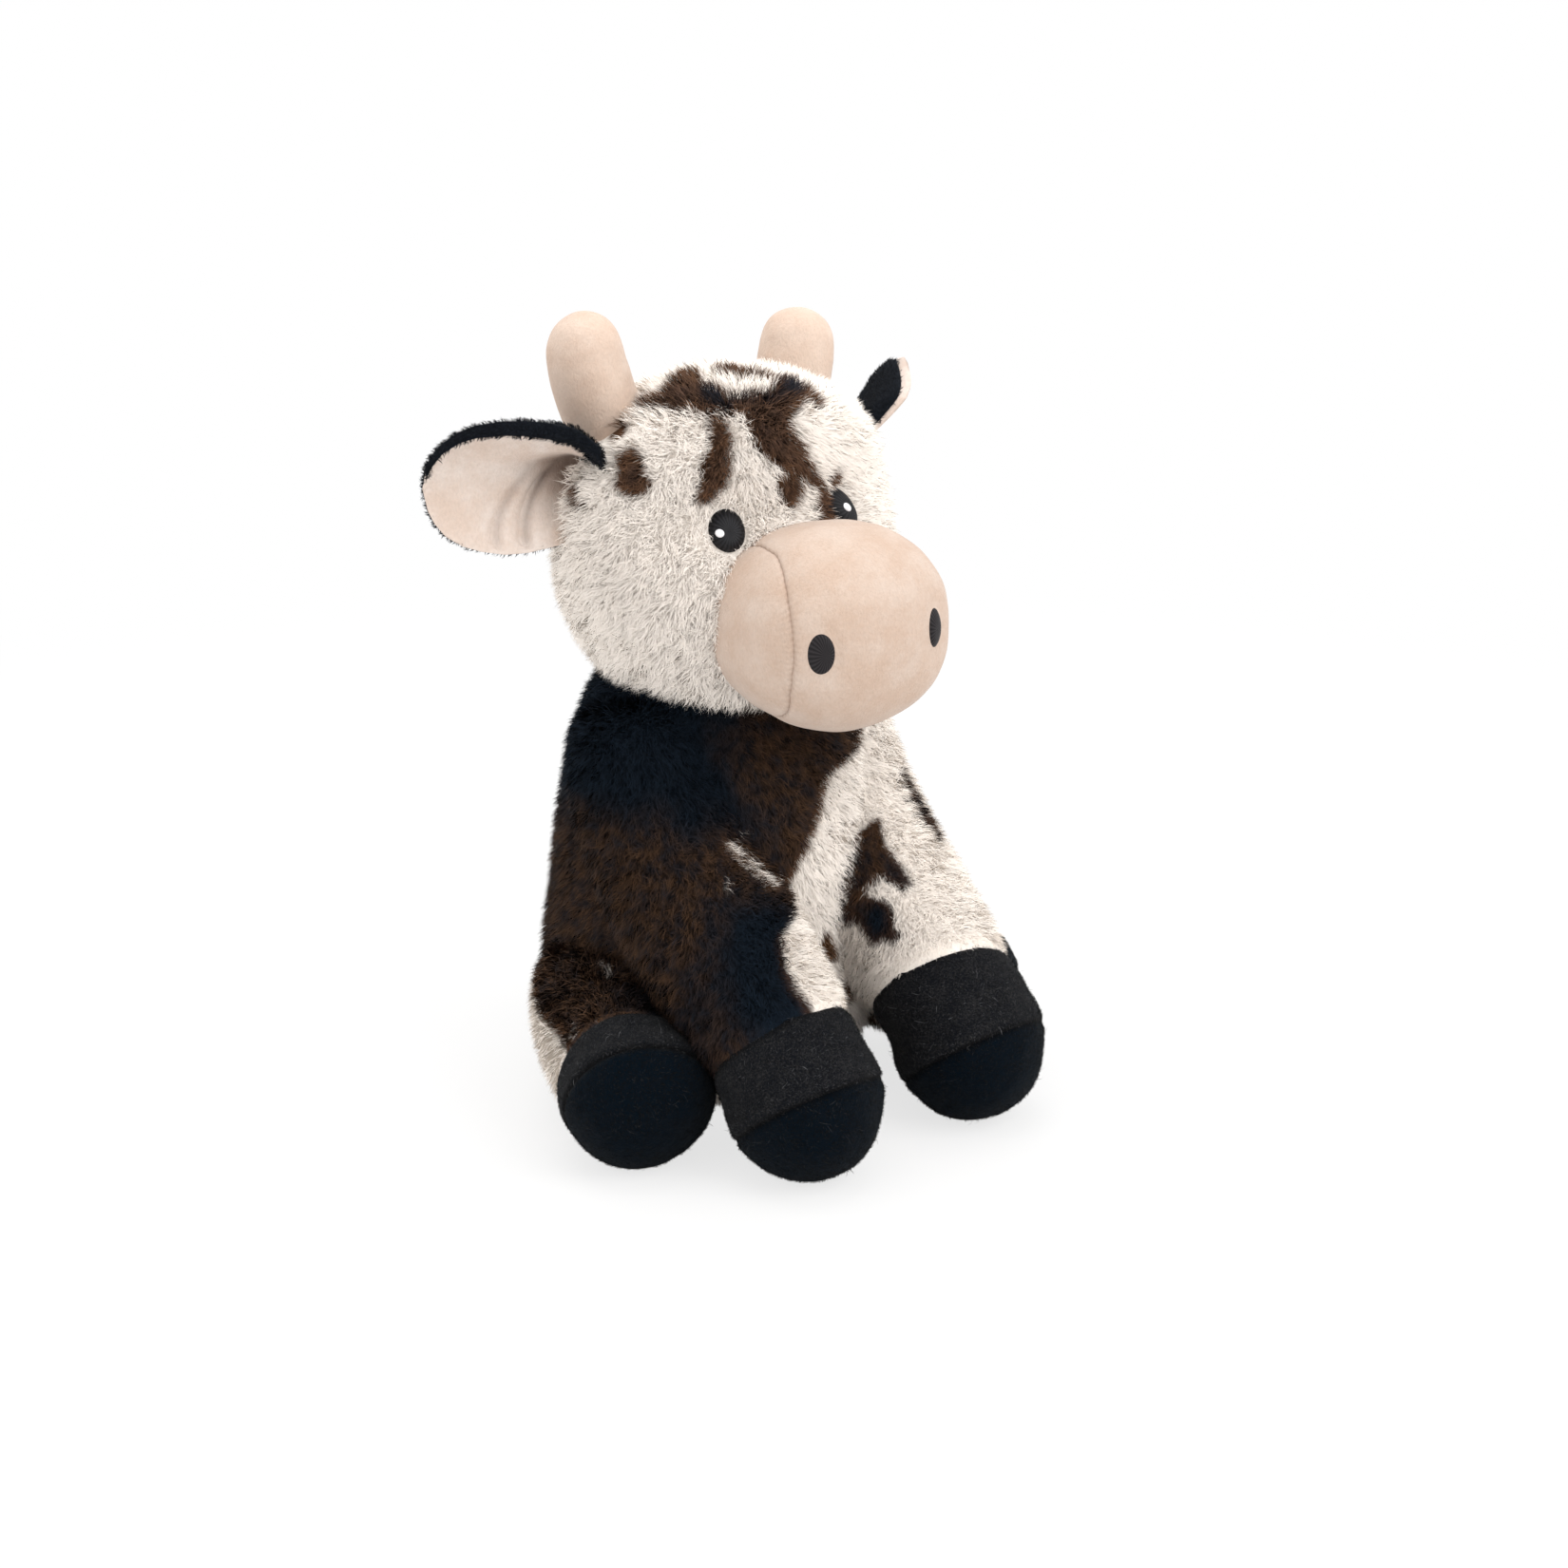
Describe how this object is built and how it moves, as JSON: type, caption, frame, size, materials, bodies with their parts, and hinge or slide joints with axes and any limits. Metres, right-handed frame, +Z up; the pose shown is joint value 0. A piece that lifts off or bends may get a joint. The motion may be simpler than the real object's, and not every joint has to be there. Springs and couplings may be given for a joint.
{
  "type": "plush cow",
  "caption": "Sitting stuffed cow with spotted long plush, a broad velour muzzle, soft horns, cupped ears and dark hooves; head, legs, ears and tail swing on their seams.",
  "frame": {"origin": "on the floor plane, at the middle of the flat seat face that the toy rests on", "axes": "+Z up; the cow faces -Y; its right side is -X"},
  "size_m": [0.2231, 0.2081, 0.2905],
  "materials": {
    "plush_light": "long cut pile, cream with brown spots",
    "plush_dark": "long cut pile, dark brown to black with white patches",
    "velour_beige": "short velour",
    "velour_black": "short velour",
    "fleece_black": "matte fleece",
    "thread_black": "satin-stitch embroidery",
    "thread_white": "satin-stitch embroidery",
    "thread_grey": "satin-stitch embroidery",
    "fibre_fill": "loose polyester fibre",
    "bean_cloth": "plain weave"
  },
  "bodies": {
    "torso": {"torso_cover": "plush_dark", "torso_filling": "fibre_fill", "seat_bean_bag": "bean_cloth"},
    "head": {"head_cover": "plush_light", "head_filling": "fibre_fill", "muzzle_nose_panel": "velour_beige", "muzzle_side_right": "velour_beige", "muzzle_side_left": "velour_beige", "muzzle_filling": "fibre_fill", "eye_right": "thread_black", "eye_left": "thread_black", "eye_glint_right": "thread_white", "eye_glint_left": "thread_white", "nostril_right": "thread_grey", "nostril_left": "thread_grey", "horn_cover_right": "velour_beige", "horn_cover_left": "velour_beige", "horn_filling_right": "fibre_fill", "horn_filling_left": "fibre_fill"},
    "ear_right": {"ear_back_right": "velour_black", "ear_inner_right": "velour_beige"},
    "foreleg_right": {"foreleg_cover_right": "plush_dark", "foreleg_hoof_band_right": "fleece_black", "foreleg_hoof_sole_right": "fleece_black", "foreleg_filling_right": "fibre_fill"},
    "hindleg_right": {"hindleg_cover_right": "plush_dark", "hindleg_hoof_band_right": "fleece_black", "hindleg_hoof_sole_right": "fleece_black", "hindleg_filling_right": "fibre_fill"},
    "ear_left": {"ear_back_left": "velour_black", "ear_inner_left": "velour_beige"},
    "foreleg_left": {"foreleg_cover_left": "plush_light", "foreleg_hoof_band_left": "fleece_black", "foreleg_hoof_sole_left": "fleece_black", "foreleg_filling_left": "fibre_fill"},
    "hindleg_left": {"hindleg_cover_left": "plush_light", "hindleg_hoof_band_left": "fleece_black", "hindleg_hoof_sole_left": "fleece_black", "hindleg_filling_left": "fibre_fill"},
    "tail": {"tail_cord": "plush_light", "tail_tuft": "plush_dark"}
  },
  "joints": [
    {"name": "head_turn", "type": "hinge", "parent": "torso", "child": "head", "pos_m": [0, -0.009, 0.206], "axis": [0, 0, 1], "range_deg": [-20, 20], "stiffness_Nm_per_rad": 0.3},
    {"name": "foreleg_right_lift", "type": "hinge", "parent": "torso", "child": "foreleg_right", "pos_m": [-0.038, 0.014, 0.147], "axis": [-1, 0, 0], "range_deg": [0, 12], "stiffness_Nm_per_rad": 0.15},
    {"name": "hindleg_right_splay", "type": "hinge", "parent": "torso", "child": "hindleg_right", "pos_m": [-0.037, 0.024, 0.04], "axis": [0, 0, -1], "range_deg": [0, 25], "stiffness_Nm_per_rad": 0.15},
    {"name": "ear_right_flop", "type": "hinge", "parent": "head", "child": "ear_right", "pos_m": [-0.058, 0, 0.2365], "axis": [-0.3209, -0.9241, -0.2074], "range_deg": [-12, 12], "stiffness_Nm_per_rad": 0.02},
    {"name": "foreleg_left_lift", "type": "hinge", "parent": "torso", "child": "foreleg_left", "pos_m": [0.038, 0.014, 0.147], "axis": [-1, 0, 0], "range_deg": [0, 12], "stiffness_Nm_per_rad": 0.15},
    {"name": "hindleg_left_splay", "type": "hinge", "parent": "torso", "child": "hindleg_left", "pos_m": [0.037, 0.024, 0.04], "axis": [0, 0, 1], "range_deg": [0, 25], "stiffness_Nm_per_rad": 0.15},
    {"name": "ear_left_flop", "type": "hinge", "parent": "head", "child": "ear_left", "pos_m": [0.058, 0, 0.2365], "axis": [0.3516, -0.913, -0.2071], "range_deg": [-12, 12], "stiffness_Nm_per_rad": 0.02},
    {"name": "tail_swing", "type": "hinge", "parent": "torso", "child": "tail", "pos_m": [0, 0.064, 0.062], "axis": [0, 1, 0], "range_deg": [-25, 25]}
  ]
}
